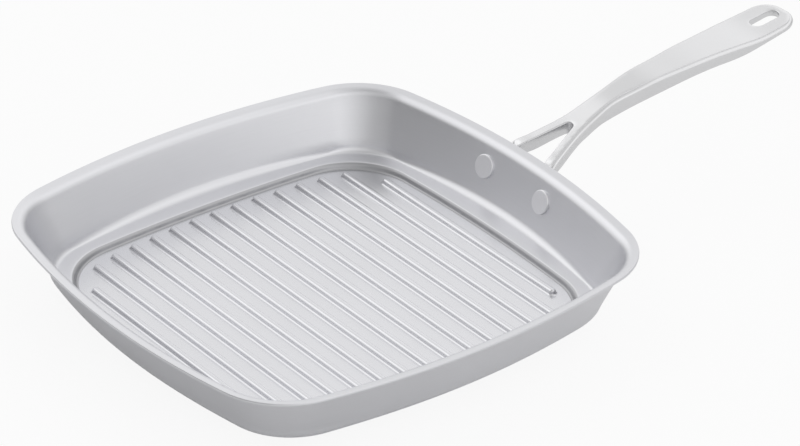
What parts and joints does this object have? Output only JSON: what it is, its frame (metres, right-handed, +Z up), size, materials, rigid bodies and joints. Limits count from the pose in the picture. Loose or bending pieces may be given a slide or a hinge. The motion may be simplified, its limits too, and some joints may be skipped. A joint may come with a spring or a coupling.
{
  "type": "grill pan",
  "caption": "Square steel grill pan with a ribbed floor, a flared lip, a sealed aluminium base plate and a forked cast handle on rivets.",
  "frame": {"origin": "centre of the flat underside of the sole", "axes": "+X along the handle towards its tip, +Z up out of the pan"},
  "size_m": [0.4616, 0.28, 0.0758],
  "materials": {
    "shell_steel": "satin",
    "sole_steel": "satin",
    "core_aluminium": "matte",
    "handle_steel": "satin",
    "rivet_steel": "satin"
  },
  "bodies": {
    "root": {"pan_shell": "shell_steel", "base_cap": "sole_steel", "base_core": "core_aluminium", "handle": "handle_steel", "rivet_left": "rivet_steel", "rivet_right": "rivet_steel"}
  },
  "joints": []
}
